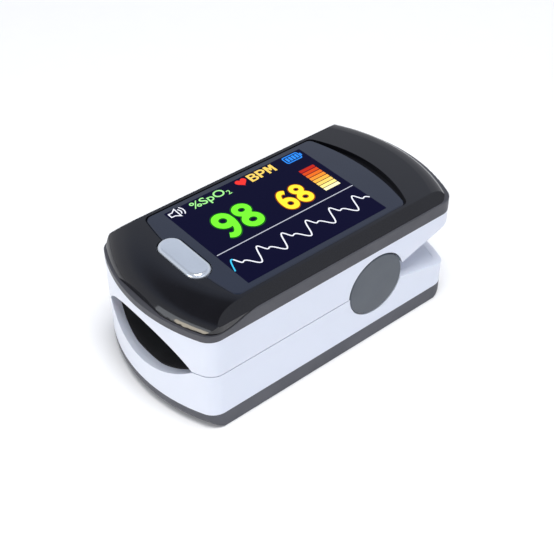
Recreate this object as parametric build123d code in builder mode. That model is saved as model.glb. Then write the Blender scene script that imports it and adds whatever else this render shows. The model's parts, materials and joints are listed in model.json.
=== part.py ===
"""Fingertip pulse oximeter: a sprung clip of two halves, with a colour display and a power button.

Millimetres. +X points to the rear (the pinch end), -X to the finger opening, +Y to the far side and
+Z up. The origin is at the middle of the underside.
"""

from build123d import *
from math import sqrt
import os

# ---- driving dimensions ----------------------------------------------------------------------------
# body in plan
half_length = 31.0
half_width = 15.45
end_bow = 4.0                 # how far each end bulges past the corners
corner_radius = 3.3
# body in height
base_top = 3.4                # top of the grey base cover
parting_z = 12.55             # where the two halves meet
parting_gap = 0.2
shell_top = 20.3              # top of the white upper shell
ring_top = 23.0               # top of the grey ring at the sides and rear
ring_front_top = 21.6         # top of the grey ring along the front
deck_z = 24.9                 # flat top of the cover and its window
# walls
base_wall = 1.3
shell_wall = 1.6
front_wall_x = -29.2          # inner face of the thick front wall
cover_skin = 1.2
fit_gap = 0.05                # between pieces of one half
# hinge
pivot_x = 9.1
pivot_z = 12.6
cap_radius = 6.2
cap_edge_radius = 0.3
cap_gap_lower = 0.1
cap_gap_upper = 0.3
pin_radius = 1.0
lower_pin_play = 0.03
upper_pin_play = 0.06
pin_half_length = 13.7
pin_chamfer = 0.2
lug_radius = 2.6
# rear pinch gap
upper_ramp_slope = 0.30
lower_ramp_slope = 0.25
ramp_apex_z = 12.33
ramp_start_x = 13.2
ramp_thickness = 1.4
# finger channel: a lens section that narrows from the mouth to the stop
mouth_x = -31.5
mouth_half = 11.9
mouth_top = 18.4
mouth_bottom = 8.2
stop_x = 5.0
stop_half = 8.5
stop_top = 16.2
stop_bottom = 10.0
pad_thickness = 1.5
tray_thickness = 1.2
stop_wall = 1.2
sensor_x = -8.0
# display
window_thickness = 1.0
window_half = 12.85
window_gap = 0.15
# power button
button_x = -20.8
button_length = 11.8
button_width = 4.6
button_top = 25.4
button_gap = 0.22
# boards
board_thickness = 0.8
main_board_z = 20.6           # underside of the main board
charger_board_z = 2.6         # underside of the charger board

# ---- derived ---------------------------------------------------------------------------------------
corner_x = half_length - end_bow
end_radius = (half_width**2 + end_bow**2) / (2 * end_bow)
bow_centre = end_radius - half_length          # x of the front end's centre; the rear's is minus this
side_inner = half_width - shell_wall - 0.1     # reach of the inner pieces towards the side walls
lower_shell_top = parting_z - parting_gap / 2
upper_shell_bottom = parting_z + parting_gap / 2
window_bottom = deck_z - window_thickness
inner_height = 60.0                            # any height that clears the whole body
along = (-40.0, 40.0)                          # any length and width that clear it
across = (-20.0, 20.0)

os.makedirs("parts", exist_ok=True)


# ---- shared outlines -------------------------------------------------------------------------------
def body_outline(side=0.0, front=None, rear=None):
    """Plan outline of the body moved in by side, front and rear: bowed ends, rounded corners."""
    front = side if front is None else front
    rear = side if rear is None else rear
    half = half_width - side
    front_corner = bow_centre - sqrt((end_radius - front) ** 2 - half**2)
    rear_corner = -bow_centre + sqrt((end_radius - rear) ** 2 - half**2)
    with BuildSketch(Plane.XY, mode=Mode.PRIVATE) as outline:
        with BuildLine():
            ThreePointArc((front_corner, -half), (front - half_length, 0), (front_corner, half))
            Line((front_corner, half), (rear_corner, half))
            ThreePointArc((rear_corner, half), (half_length - rear, 0), (rear_corner, -half))
            Line((rear_corner, -half), (front_corner, -half))
        make_face()
        fillet(outline.vertices(), radius=max(corner_radius - side, 0.6))
    return outline.sketch


def lens(half, top, bottom):
    """Section of the finger channel: two arcs that meet at the parting line."""
    with BuildSketch(Plane.XY, mode=Mode.PRIVATE) as section:
        with BuildLine():
            ThreePointArc((-half, parting_z), (0, top), (half, parting_z))
            ThreePointArc((half, parting_z), (0, bottom), (-half, parting_z))
        make_face()
    return section.sketch


def channel(widen, thicken, rear_extra=0.0):
    """Tapering solid of the finger channel, grown by thicken up and down and by widen sideways."""
    with BuildPart(mode=Mode.PRIVATE) as solid:
        with BuildSketch(Plane.YZ.offset(mouth_x)):
            add(lens(mouth_half + widen, mouth_top + thicken, mouth_bottom - thicken))
        with BuildSketch(Plane.YZ.offset(stop_x + rear_extra)):
            add(lens(stop_half + widen, stop_top + thicken, stop_bottom - thicken))
        loft(ruled=True)
    return solid.part


def slab(x_range, y_range, z_range):
    """Plain block between two corners, for cutting and clipping."""
    size = [high - low for low, high in (x_range, y_range, z_range)]
    centre = tuple((low + high) / 2 for low, high in (x_range, y_range, z_range))
    with BuildPart(mode=Mode.PRIVATE) as block:
        with Locations(centre):
            Box(*size)
    return block.part


def prism(points):
    """Side-view polygon (x, z) carried right across the body."""
    with BuildPart(mode=Mode.PRIVATE) as solid:
        with BuildSketch(Plane.XZ):
            with BuildLine():
                Polyline(*points, close=True)
            make_face()
        extrude(amount=inner_height / 2, both=True)
    return solid.part


def cavity(wall, low, high, front_x=None):
    """Room inside a shell of the given wall between two heights, with a thicker front wall."""
    with BuildPart(mode=Mode.PRIVATE) as room:
        with BuildSketch(Plane.XY.offset(low)):
            add(body_outline(wall))
        extrude(amount=high - low)
        if front_x is not None:
            add(slab((along[0], front_x), across, (low - 1, high + 1)), mode=Mode.SUBTRACT)
    return room.part


def stadium(length_y, width_x, low, high, x=button_x):
    """Upright block with round ends, long across the body, for the button and its hole."""
    with BuildPart(mode=Mode.PRIVATE) as solid:
        with BuildSketch(Plane.XY.offset(low)):
            with Locations((x, 0)):
                SlotOverall(length_y, width_x, rotation=90)
        extrude(amount=high - low)
    return solid.part


def cross_cylinder(radius, y_low, y_high, x=pivot_x, z=pivot_z):
    """Cylinder along Y, for the hinge and what turns on it."""
    with BuildPart(mode=Mode.PRIVATE) as solid:
        with BuildSketch(Plane.XZ.offset(-y_high)):
            with Locations((x, z)):
                Circle(radius)
        extrude(amount=y_high - y_low)
    return solid.part


def cap_notch(gap):
    """Round openings in both side walls for the hinge caps."""
    with BuildPart(mode=Mode.PRIVATE) as solid:
        add(cross_cylinder(cap_radius + gap, side_inner - 0.2, half_width + 1))
        mirror(about=Plane.XZ)
    return solid.part


def finish(builder, name):
    """Label a finished piece and write it."""
    builder.part.label = name
    export_step(builder.part, f"parts/{name}.step")


def lower_ramp_z(x):
    """Height of the lower half's top at the rear."""
    return ramp_apex_z - lower_ramp_slope * (x - pivot_x)


def upper_ramp_z(x):
    """Height of the upper half's underside at the rear."""
    return ramp_apex_z + upper_ramp_slope * (x - pivot_x)


far_x = half_length + 2
finger_channel = channel(0, 0)
pad_outside = channel(0.9, pad_thickness)
tray_inside = channel(0.9 + fit_gap, pad_thickness + fit_gap, fit_gap)
tray_outside = channel(1.8, pad_thickness + tray_thickness, stop_wall)
# what the rear pinch gap takes away from each half
lower_gap = prism([(pivot_x, lower_shell_top), (pivot_x, inner_height), (far_x, inner_height),
                   (far_x, lower_ramp_z(far_x)), (pivot_x + 0.5, lower_shell_top)])
upper_gap = prism([(pivot_x, upper_shell_bottom), (pivot_x, -inner_height), (far_x, -inner_height),
                   (far_x, upper_ramp_z(far_x)), (pivot_x + 0.5, upper_shell_bottom)])
mouth_cut = (mouth_half, mouth_top, mouth_bottom)
mouth_cut_depth = 6.0

# ---- lower half: covers ----------------------------------------------------------------------------
screw_spots = [(-23.6, -11.4), (-23.6, 11.4), (23.8, -11.0), (23.8, 11.0)]
screw_head_radius = 1.5
screw_head_height = 1.0
screw_shank_radius = 0.85
screw_length = 5.0
screw_sink = 0.2              # depth of the heads below the underside
screw_cross = (1.8, 0.4, 0.5)  # length, width and depth of the driver's cross
screw_play = 0.02
screw_hole_radius = 1.0       # in the base cover
base_boss_top = 2.6
post_radius = 1.75
tuck_radius = 2.6             # rounding under both ends
base_edge_radius = 0.25       # rounding under the long sides
tuck_room = 10.0              # height of the solids that clip the base cover

def end_tuck(side):
    """Everything above the rounded lower edge of one bowed end; side is -1 front, 1 rear."""
    centre_x = -side * bow_centre
    edge_x = side * half_length
    with BuildPart(mode=Mode.PRIVATE) as solid:
        with BuildSketch(Plane.XZ):
            with BuildLine():
                Polyline((edge_x, tuck_radius), (edge_x, tuck_room), (centre_x, tuck_room),
                         (centre_x, 0), (edge_x - side * tuck_radius, 0))
                JernArc((edge_x - side * tuck_radius, 0), (side, 0), tuck_radius, side * 90)
            make_face()
        revolve(axis=Axis((centre_x, 0, 0), (0, 0, 1)), revolution_arc=360)
        add(slab(tuple(sorted((centre_x, side * along[0]))), across, (0, tuck_room)))
    return solid.part


with BuildPart() as base_cover:
    with BuildSketch():
        add(body_outline())
    extrude(amount=base_top)
    fillet(base_cover.faces().sort_by(Axis.Z)[0].edges(), radius=base_edge_radius)
    for side in (-1, 1):
        add(end_tuck(side), mode=Mode.INTERSECT)
    add(cavity(base_wall, base_wall, base_top + 1), mode=Mode.SUBTRACT)
    with BuildSketch(Plane.XY.offset(base_wall)):
        with Locations(*screw_spots):
            Circle(post_radius + 0.3)
    extrude(amount=base_boss_top - base_wall)
    with Locations(*[(x, y, 0) for x, y in screw_spots]):
        with Locations(Rotation(180, 0, 0)):
            CounterBoreHole(screw_hole_radius, screw_head_radius + screw_sink,
                            screw_head_height + screw_sink, depth=base_top)
finish(base_cover, "base_cover")

with BuildPart() as base_screws:
    for x, y in screw_spots:
        with BuildSketch(Plane.XY.offset(screw_sink)):
            with Locations((x, y)):
                Circle(screw_head_radius)
        extrude(amount=screw_head_height)
        with BuildSketch(Plane.XY.offset(screw_sink + screw_head_height)):
            with Locations((x, y)):
                Circle(screw_shank_radius)
        extrude(amount=screw_length)
        with BuildSketch(Plane.XY.offset(screw_sink)):
            with Locations((x, y)):
                Rectangle(screw_cross[0], screw_cross[1])
                Rectangle(screw_cross[1], screw_cross[0])
        extrude(amount=screw_cross[2], mode=Mode.SUBTRACT)
finish(base_screws, "base_screws")

usb_cut_x = 26.0              # where the socket's opening in the rear wall starts
usb_half_width = 3.75
usb_bottom = 3.45
usb_height = 2.45

with BuildPart() as lower_shell:
    with BuildSketch(Plane.XY.offset(base_top)):
        add(body_outline())
    extrude(amount=lower_shell_top - base_top)
    add(cavity(shell_wall, base_top - 1, lower_shell_top + 1, front_wall_x), mode=Mode.SUBTRACT)
    # sloped deck across the rear, under the pinch gap
    add(prism([(ramp_start_x, lower_ramp_z(ramp_start_x) - ramp_thickness),
               (ramp_start_x, lower_ramp_z(ramp_start_x)), (far_x, lower_ramp_z(far_x)),
               (far_x, lower_ramp_z(far_x) - ramp_thickness)]))
    add(cavity(0, base_top, lower_shell_top), mode=Mode.INTERSECT)
    add(lower_gap, mode=Mode.SUBTRACT)
    add(cap_notch(cap_gap_lower), mode=Mode.SUBTRACT)
    with BuildSketch(Plane.YZ.offset(-half_length - 1)):
        add(lens(*mouth_cut))
    extrude(amount=mouth_cut_depth, mode=Mode.SUBTRACT)
    # posts for the rear screws
    with BuildSketch(Plane.XY.offset(base_boss_top + fit_gap)):
        with Locations(*screw_spots[2:]):
            Circle(post_radius)
    extrude(amount=lower_ramp_z(screw_spots[2][0]) - 1.0 - base_boss_top)
    with BuildSketch(Plane.XY.offset(base_boss_top)):
        with Locations(*screw_spots[2:]):
            Circle(screw_shank_radius + screw_play)
    extrude(amount=screw_length - 1.0, mode=Mode.SUBTRACT)
    add(slab((usb_cut_x, far_x), (-usb_half_width - 0.3, usb_half_width + 0.3),
             (base_top - 1, usb_bottom + usb_height + 0.15)), mode=Mode.SUBTRACT)
finish(lower_shell, "lower_shell")

# ---- hinge springs -----------------------------------------------------------------------------------
spring_wire = 0.25
spring_radius = 1.65
spring_turns = 5.5
spring_pitch = 0.6
spring_leg = 3.7
seat_x = (11.3, 12.9)         # where the legs press on both trays
seat_y = (5.3, 9.7)
seat_gap = spring_radius + spring_wire + 0.02

# ---- lower half: finger trough, sensor, hinge ------------------------------------------------------
window_half_size = 2.7
sensor_gap = 0.1
boss_half = 4.6
sensor_boss_z = 6.35
board_z = 5.75                # underside of the photodiode board
lug_y = (12.1, 13.6)
upper_lug_y = (9.9, 11.8)
foot_bottom = 7.0             # underside of the feet that carry the lower lugs
foot_y = 5.0
foot_reach = 6.0
foot_tops = (9.2, 8.4)        # before and behind the stop wall
flange_x = -20.0              # how far back the lower tray's flanges reach
flange_bottom_z = 9.4
lower_post_top = 9.6
sensor_window_z = (7.6, 9.0)
emitter_window_z = (17.2, 18.5)
window_edge = (0.5, 0.3)      # rounding of both windows' corners and faces
pocket_half = 3.0             # half-width of the windows' pockets in the pads
pocket_low = (5.0, 11.0)      # heights that the lower and the upper pocket are cut through
pocket_high = (15.0, 20.0)


def half_space(upper):
    """Everything above or below the parting line, clear of it."""
    if upper:
        return slab(along, across, (upper_shell_bottom + 0.1, inner_height))
    return slab(along, across, (-inner_height, lower_shell_top - 0.1))


def clip_to_room(room_low, room_high):
    """Room for trays and pads inside the shells, just clear of their walls."""
    return cavity(shell_wall + 0.1, room_low, room_high, front_wall_x + 0.1)


with BuildPart() as lower_tray:
    add(tray_outside)
    # flanges out to the shell's walls, for the screw posts
    add(slab((front_wall_x, flange_x), (-side_inner, side_inner), (flange_bottom_z, lower_shell_top)))
    # boss that carries the photodiode board
    add(slab((sensor_x - boss_half, sensor_x + boss_half), (-boss_half, boss_half),
             (sensor_boss_z, pocket_low[1])))
    add(half_space(upper=False), mode=Mode.INTERSECT)
    add(clip_to_room(base_top, lower_shell_top), mode=Mode.INTERSECT)
    add(tray_inside, mode=Mode.SUBTRACT)
    # stop wall behind the fingertip
    add(tray_outside & slab((stop_x, stop_x + stop_wall), across, (0, lower_shell_top - 0.1)))
    # hinge lugs, and the foot that joins them under the trough
    for side in (-1, 1):
        y_low, y_high = sorted(side * y for y in lug_y)
        add(cross_cylinder(lug_radius, y_low, y_high))
        add(slab((stop_x, pivot_x + lug_radius), (y_low, y_high), (foot_bottom, pivot_z - pin_radius)))
        add(slab((stop_x - foot_reach, stop_x + stop_wall),
                 tuple(sorted((side * foot_y, side * lug_y[1]))), (foot_bottom, foot_tops[0])))
        add(slab((stop_x, seat_x[1]), tuple(sorted((side * seat_y[0], side * lug_y[1]))),
                 (foot_bottom, foot_tops[1])))
        add(slab(seat_x, tuple(sorted(side * y for y in seat_y)), (foot_bottom, pivot_z - seat_gap)))
    # screw posts
    for x, y in screw_spots[:2]:
        with BuildSketch(Plane.XY.offset(base_boss_top + fit_gap)):
            with Locations((x, y)):
                Circle(post_radius)
        extrude(amount=lower_post_top - base_boss_top)
    add(tray_inside & slab((along[0], stop_x), across, (0, inner_height)), mode=Mode.SUBTRACT)
    add(cross_cylinder(pin_radius + lower_pin_play, *across), mode=Mode.SUBTRACT)
    add(slab((sensor_x - window_half_size - sensor_gap, sensor_x + window_half_size + sensor_gap),
             (-window_half_size - sensor_gap, window_half_size + sensor_gap), pocket_low),
        mode=Mode.SUBTRACT)
    for x, y in screw_spots[:2]:
        with BuildSketch(Plane.XY.offset(base_boss_top)):
            with Locations((x, y)):
                Circle(screw_shank_radius + screw_play)
        extrude(amount=screw_length, mode=Mode.SUBTRACT)
finish(lower_tray, "lower_tray")

with BuildPart() as lower_finger_pad:
    add(pad_outside)
    add(half_space(upper=False), mode=Mode.INTERSECT)
    add(clip_to_room(base_top, lower_shell_top), mode=Mode.INTERSECT)
    add(finger_channel, mode=Mode.SUBTRACT)
    add(slab((sensor_x - pocket_half, sensor_x + pocket_half), (-pocket_half, pocket_half), pocket_low),
        mode=Mode.SUBTRACT)
finish(lower_finger_pad, "lower_finger_pad")

with BuildPart() as sensor_window:
    add(slab((sensor_x - window_half_size, sensor_x + window_half_size),
             (-window_half_size, window_half_size), sensor_window_z))
    fillet(sensor_window.edges().filter_by(Axis.Z), radius=window_edge[0])
    fillet(sensor_window.faces().sort_by(Axis.Z)[-1].edges(), radius=window_edge[1])
finish(sensor_window, "sensor_window")

with BuildPart() as photodiode_board:
    add(slab((sensor_x - boss_half, sensor_x + boss_half), (-boss_half, boss_half),
             (board_z, sensor_boss_z)))
finish(photodiode_board, "photodiode_board")

diode_size = (3.0, 2.6, 0.8)
diode_face = (2.0, 1.8, 0.1)

with BuildPart() as photodiode:
    add(slab((sensor_x - diode_size[0] / 2, sensor_x + diode_size[0] / 2),
             (-diode_size[1] / 2, diode_size[1] / 2), (sensor_boss_z, sensor_boss_z + diode_size[2])))
    with Locations((sensor_x, 0, sensor_boss_z + diode_size[2])):
        Box(*diode_face, align=(Align.CENTER, Align.CENTER, Align.MIN))
finish(photodiode, "photodiode")

battery_x = -6.0
battery_size = (29.0, 19.0, 3.8)
battery_corner = 1.5
battery_edge = 0.5

with BuildPart() as battery_cell:
    with BuildSketch(Plane.XY.offset(base_wall + fit_gap)):
        with Locations((battery_x, 0)):
            RectangleRounded(battery_size[0], battery_size[1], battery_corner)
    extrude(amount=battery_size[2])
    fillet(battery_cell.edges().filter_by(Axis.Z, reverse=True), radius=battery_edge)
finish(battery_cell, "battery_cell")

charger_x = (12.0, 28.6)
charger_half = 8.0
standoff_y = 6.2
standoff_radius = 0.9
# chips on the charger board: x range, y range and height
charger_chips = (((16.0, 20.0), (-5.5, -1.5), 1.0), ((15.0, 17.5), (2.0, 4.5), 0.8))

with BuildPart() as charger_board:
    add(slab(charger_x, (-charger_half, charger_half),
             (charger_board_z, charger_board_z + board_thickness)))
    for y in (-standoff_y, standoff_y):
        with BuildSketch(Plane.XY.offset(base_wall)):
            with Locations((charger_x[0] + 2, y), (charger_x[1] - 3, y)):
                Circle(standoff_radius)
        extrude(amount=charger_board_z - base_wall)
    charger_top = charger_board_z + board_thickness
    for x_range, y_range, height in charger_chips:
        add(slab(x_range, y_range, (charger_top, charger_top + height)))
finish(charger_board, "charger_board")

usb_x = (25.2, 30.5)
usb_shell = 0.3
usb_back = 0.8
usb_corner = 0.7
usb_tongue = (2.0, 1.3, 1.8)   # half-width, and heights above the socket's underside

with BuildPart() as usb_socket:
    with BuildSketch(Plane.YZ.offset(usb_x[0])):
        with Locations((0, usb_bottom + usb_height / 2)):
            RectangleRounded(2 * usb_half_width, usb_height, usb_corner)
    extrude(amount=usb_x[1] - usb_x[0])
    with BuildSketch(Plane.YZ.offset(usb_x[0] + usb_back)):
        with Locations((0, usb_bottom + usb_height / 2)):
            RectangleRounded(2 * (usb_half_width - usb_shell), usb_height - 2 * usb_shell,
                             usb_corner - usb_shell)
    extrude(amount=usb_x[1] - usb_x[0], mode=Mode.SUBTRACT)
    add(slab((usb_x[0], usb_x[1] - 1.0), (-usb_tongue[0], usb_tongue[0]),
             (usb_bottom + usb_tongue[1], usb_bottom + usb_tongue[2])))
finish(usb_socket, "usb_socket")

for side, name in ((-1, "hinge_cap_left"), (1, "hinge_cap_right")):
    with BuildPart() as hinge_cap:
        y_low, y_high = sorted((side * (half_width - shell_wall), side * half_width))
        add(cross_cylinder(cap_radius, y_low, y_high))
        outer_edges = hinge_cap.faces().sort_by(Axis.Y)[0 if side < 0 else -1].edges()
        fillet(outer_edges, radius=cap_edge_radius)
    finish(hinge_cap, name)

with BuildPart() as hinge_pin:
    add(cross_cylinder(pin_radius, -pin_half_length, pin_half_length))
    chamfer(hinge_pin.edges().filter_by(GeomType.CIRCLE), length=pin_chamfer)
finish(hinge_pin, "hinge_pin")

coil_start = 5.85             # distance of the spring's inner end from the middle


def coil_spring():
    """Spring coiled about +Z with both legs along -Y, its lower leg at +X and its upper at -X."""
    with BuildPart(mode=Mode.PRIVATE) as spring:
        with BuildLine() as coil:
            Helix(pitch=spring_pitch, height=spring_turns * spring_pitch, radius=spring_radius)
        first, last = coil.line @ 0, coil.line @ 1
        away_first, away_last = -(coil.line % 0), coil.line % 1
        with BuildSketch(Plane(origin=first, z_dir=-away_first)):
            Circle(spring_wire)
        sweep(path=coil.line, is_frenet=True)
        for end, away in ((first, away_first), (last, away_last)):
            with BuildSketch(Plane(origin=end, z_dir=away)):
                Circle(spring_wire)
            extrude(amount=spring_leg)
    return spring.part


with BuildPart() as torsion_spring_right:
    with Locations(Plane(origin=(pivot_x, coil_start, pivot_z), x_dir=(0, 0, -1), z_dir=(0, 1, 0))):
        add(coil_spring())
finish(torsion_spring_right, "torsion_spring_right")

with BuildPart() as torsion_spring_left:
    add(torsion_spring_right.part.mirror(Plane.XZ))
finish(torsion_spring_left, "torsion_spring_left")

# ---- upper half: shell, tray, pad, emitter ---------------------------------------------------------
with BuildPart() as upper_shell:
    with BuildSketch(Plane.XY.offset(upper_shell_bottom)):
        add(body_outline())
    extrude(amount=shell_top - upper_shell_bottom)
    add(cavity(shell_wall, upper_shell_bottom - 1, shell_top + 1, front_wall_x), mode=Mode.SUBTRACT)
    # sloped floor across the rear, over the pinch gap
    add(prism([(ramp_start_x, upper_ramp_z(ramp_start_x)),
               (ramp_start_x, upper_ramp_z(ramp_start_x) + ramp_thickness),
               (far_x, upper_ramp_z(far_x) + ramp_thickness), (far_x, upper_ramp_z(far_x))]))
    add(cavity(0, upper_shell_bottom, shell_top), mode=Mode.INTERSECT)
    add(upper_gap, mode=Mode.SUBTRACT)
    add(cap_notch(cap_gap_upper), mode=Mode.SUBTRACT)
    with BuildSketch(Plane.YZ.offset(-half_length - 1)):
        add(lens(*mouth_cut))
    extrude(amount=mouth_cut_depth, mode=Mode.SUBTRACT)
finish(upper_shell, "upper_shell")

post_spots = [(-22.4, -10.4), (-22.4, 10.4), (22.0, -11.5), (22.0, 11.5)]
emitter_boss_z = 19.9
board_post_radius = 1.5
front_post_bottom = 14.0
arm_z = (18.6, 19.8)          # the arms that carry the rear posts
arm_y = (10.0, 13.0)
arm_root = 17.0
bridge_z = (16.4, 17.8)
board_screw_radius = 0.7
board_screw_head = (1.3, 0.8)  # radius and height
board_screw_tip = 19.0

with BuildPart() as upper_tray:
    add(tray_outside)
    add(slab((sensor_x - boss_half, sensor_x + boss_half), (-boss_half, boss_half),
             (pocket_high[0], emitter_boss_z)))
    add(half_space(upper=True), mode=Mode.INTERSECT)
    add(clip_to_room(upper_shell_bottom, main_board_z - 0.1), mode=Mode.INTERSECT)
    add(tray_inside, mode=Mode.SUBTRACT)
    add(tray_outside & slab((stop_x, stop_x + stop_wall), across,
                            (upper_shell_bottom + 0.1, inner_height)))
    # hinge lugs hang from a bridge behind the stop wall
    add(slab((stop_x, pivot_x + lug_radius), (-upper_lug_y[1], upper_lug_y[1]), bridge_z))
    for side in (-1, 1):
        y_low, y_high = sorted(side * y for y in upper_lug_y)
        add(cross_cylinder(lug_radius, y_low, y_high))
        add(slab((pivot_x - lug_radius, pivot_x + lug_radius), (y_low, y_high), (pivot_z, bridge_z[1])))
        add(slab(seat_x, tuple(sorted(side * y for y in seat_y)), (pivot_z + seat_gap, bridge_z[1])))
    # posts under the main board, the rear pair standing on two arms
    for x, y in post_spots[:2]:
        with BuildSketch(Plane.XY.offset(front_post_bottom)):
            with Locations((x, y)):
                Circle(board_post_radius)
        extrude(amount=main_board_z - front_post_bottom)
    for side in (-1, 1):
        add(slab((pivot_x, post_spots[2][0] + board_post_radius), tuple(sorted(side * y for y in arm_y)),
                 arm_z))
        add(slab((pivot_x, pivot_x + lug_radius), tuple(sorted((side * arm_y[0], side * upper_lug_y[1]))),
                 (arm_root, arm_z[1])))
    for x, y in post_spots[2:]:
        with BuildSketch(Plane.XY.offset(arm_z[0])):
            with Locations((x, y)):
                Circle(board_post_radius)
        extrude(amount=main_board_z - arm_z[0])
    add(tray_inside & slab((along[0], stop_x), across, (0, inner_height)), mode=Mode.SUBTRACT)
    add(cross_cylinder(pin_radius + upper_pin_play, *across), mode=Mode.SUBTRACT)
    add(slab((sensor_x - window_half_size - sensor_gap, sensor_x + window_half_size + sensor_gap),
             (-window_half_size - sensor_gap, window_half_size + sensor_gap), pocket_high),
        mode=Mode.SUBTRACT)
    add(slab((sensor_x - boss_half - 0.2, sensor_x + boss_half + 0.2),
             (-boss_half - 0.2, boss_half + 0.2), (emitter_boss_z, inner_height)), mode=Mode.SUBTRACT)
    for x, y in post_spots:
        with BuildSketch(Plane.XY.offset(board_screw_tip - 0.2)):
            with Locations((x, y)):
                Circle(board_screw_radius + screw_play)
        extrude(amount=main_board_z - board_screw_tip + 1, mode=Mode.SUBTRACT)
finish(upper_tray, "upper_tray")

with BuildPart() as upper_finger_pad:
    add(pad_outside)
    add(half_space(upper=True), mode=Mode.INTERSECT)
    add(clip_to_room(upper_shell_bottom, main_board_z), mode=Mode.INTERSECT)
    add(finger_channel, mode=Mode.SUBTRACT)
    add(slab((sensor_x - pocket_half, sensor_x + pocket_half), (-pocket_half, pocket_half), pocket_high),
        mode=Mode.SUBTRACT)
finish(upper_finger_pad, "upper_finger_pad")

with BuildPart() as emitter_window:
    add(slab((sensor_x - window_half_size, sensor_x + window_half_size),
             (-window_half_size, window_half_size), emitter_window_z))
    fillet(emitter_window.edges().filter_by(Axis.Z), radius=window_edge[0])
    fillet(emitter_window.faces().sort_by(Axis.Z)[0].edges(), radius=window_edge[1])
finish(emitter_window, "emitter_window")

led_board_thickness = 0.5
led_size = (3.2, 2.8, 0.7)
led_die = (0.6, 0.6, 0.1)
led_die_x = 0.7

with BuildPart() as led_board:
    add(slab((sensor_x - boss_half, sensor_x + boss_half), (-boss_half, boss_half),
             (emitter_boss_z, emitter_boss_z + led_board_thickness)))
finish(led_board, "led_board")

with BuildPart() as led_emitter:
    led_bottom = emitter_boss_z - led_size[2]
    add(slab((sensor_x - led_size[0] / 2, sensor_x + led_size[0] / 2),
             (-led_size[1] / 2, led_size[1] / 2), (led_bottom, emitter_boss_z)))
    with Locations((sensor_x - led_die_x, 0, led_bottom), (sensor_x + led_die_x, 0, led_bottom)):
        Box(*led_die, align=(Align.CENTER, Align.CENTER, Align.MAX))
finish(led_emitter, "led_emitter")

# ---- upper half: ring, cover, window ---------------------------------------------------------------
ring_wall = 1.7
ring_dip_start_x = -17.5
ring_dip_end_x = -24.5
cover_side = 0.15
cover_front = 0.45
cover_rear = 1.15
slope_top_half = 13.65        # half-width of the flat top where the side slopes begin
front_fall_start = 24.4       # radius about the front bow's centre where the front slope begins
rear_fall_start = 24.5
front_fall_edge = ring_front_top + 0.2
rear_fall_edge = ring_top + 0.5
fall_steepness = 0.45         # run against rise at the foot of both end slopes
cover_low = 15.0              # where the solids that clip the cover start
ring_edge_radius = 0.25


def ring_profile(lift, low):
    """Solid under the ring's top edge: level at the sides, dipping towards the front."""
    with BuildPart(mode=Mode.PRIVATE) as solid:
        with BuildSketch(Plane.XZ):
            with BuildLine():
                Polyline((ring_dip_end_x, ring_front_top + lift), (-far_x, ring_front_top + lift),
                         (-far_x, low), (far_x, low), (far_x, ring_top + lift),
                         (ring_dip_start_x, ring_top + lift))
                Spline((ring_dip_start_x, ring_top + lift), (ring_dip_end_x, ring_front_top + lift),
                       tangents=((-1, 0), (-1, 0)))
            make_face()
        extrude(amount=inner_height / 2, both=True)
    return solid.part


def end_fall(centre_x, start_radius, edge_radius, edge_z, inset, drop):
    """Flat top that rolls down to edge_z at edge_radius about an upright axis at centre_x."""
    side = 1 if centre_x < 0 else -1
    edge = edge_radius - inset
    start = start_radius - inset
    with BuildPart(mode=Mode.PRIVATE) as solid:
        with BuildSketch(Plane.XZ):
            with BuildLine():
                Polyline((centre_x, deck_z - drop), (centre_x, cover_low),
                         (centre_x + side * edge, cover_low), (centre_x + side * edge, edge_z - drop))
                Spline((centre_x + side * edge, edge_z - drop),
                       (centre_x + side * start, deck_z - drop),
                       tangents=((-side * fall_steepness, 1), (-side, 0)))
                Line((centre_x + side * start, deck_z - drop), (centre_x, deck_z - drop))
            make_face()
        revolve(axis=Axis((centre_x, 0, 0), (0, 0, 1)), revolution_arc=360)
        add(slab(tuple(sorted((centre_x, side * along[0]))), across, (cover_low, deck_z - drop)))
    return solid.part


def dome(inset, drop):
    """Solid under the top cover's surface, moved in by inset and down by drop."""
    slope_half = slope_top_half - inset
    edge_half = half_width - cover_side - inset
    with BuildPart(mode=Mode.PRIVATE) as slopes:
        with BuildSketch(Plane.YZ):
            with BuildLine():
                Polyline((-edge_half, cover_low), (-edge_half, ring_top - drop),
                         (-slope_half, deck_z - drop), (slope_half, deck_z - drop),
                         (edge_half, ring_top - drop), (edge_half, cover_low),
                         close=True)
            make_face()
        extrude(amount=inner_height / 2, both=True)
    with BuildPart(mode=Mode.PRIVATE) as solid:
        with BuildSketch(Plane.XY.offset(cover_low)):
            add(body_outline(cover_side + inset, cover_front + inset, cover_rear + inset))
        extrude(amount=cover_low)
        add(slopes.part, mode=Mode.INTERSECT)
        add(end_fall(bow_centre, front_fall_start, end_radius - cover_front, front_fall_edge, inset, drop),
            mode=Mode.INTERSECT)
        add(end_fall(-bow_centre, rear_fall_start, end_radius - cover_rear, rear_fall_edge, inset, drop),
            mode=Mode.INTERSECT)
    return solid.part


with BuildPart() as bezel_ring:
    with BuildSketch(Plane.XY.offset(shell_top)):
        add(body_outline())
    extrude(amount=ring_top - shell_top)
    fillet(bezel_ring.faces().sort_by(Axis.Z)[-1].edges(), radius=ring_edge_radius)
    add(cavity(ring_wall, shell_top - 1, ring_top + 1), mode=Mode.SUBTRACT)
    add(ring_profile(0, shell_top - 1), mode=Mode.INTERSECT)
finish(bezel_ring, "bezel_ring")

window_front_x = -19.73
window_front_bow = 1.4
window_rear_x = 17.7
window_rear_bow = 2.1
recess_rear_x = 17.8
recess_rear_bow = 3.4
window_corner = 1.4
window_chamfer = 0.2


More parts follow.
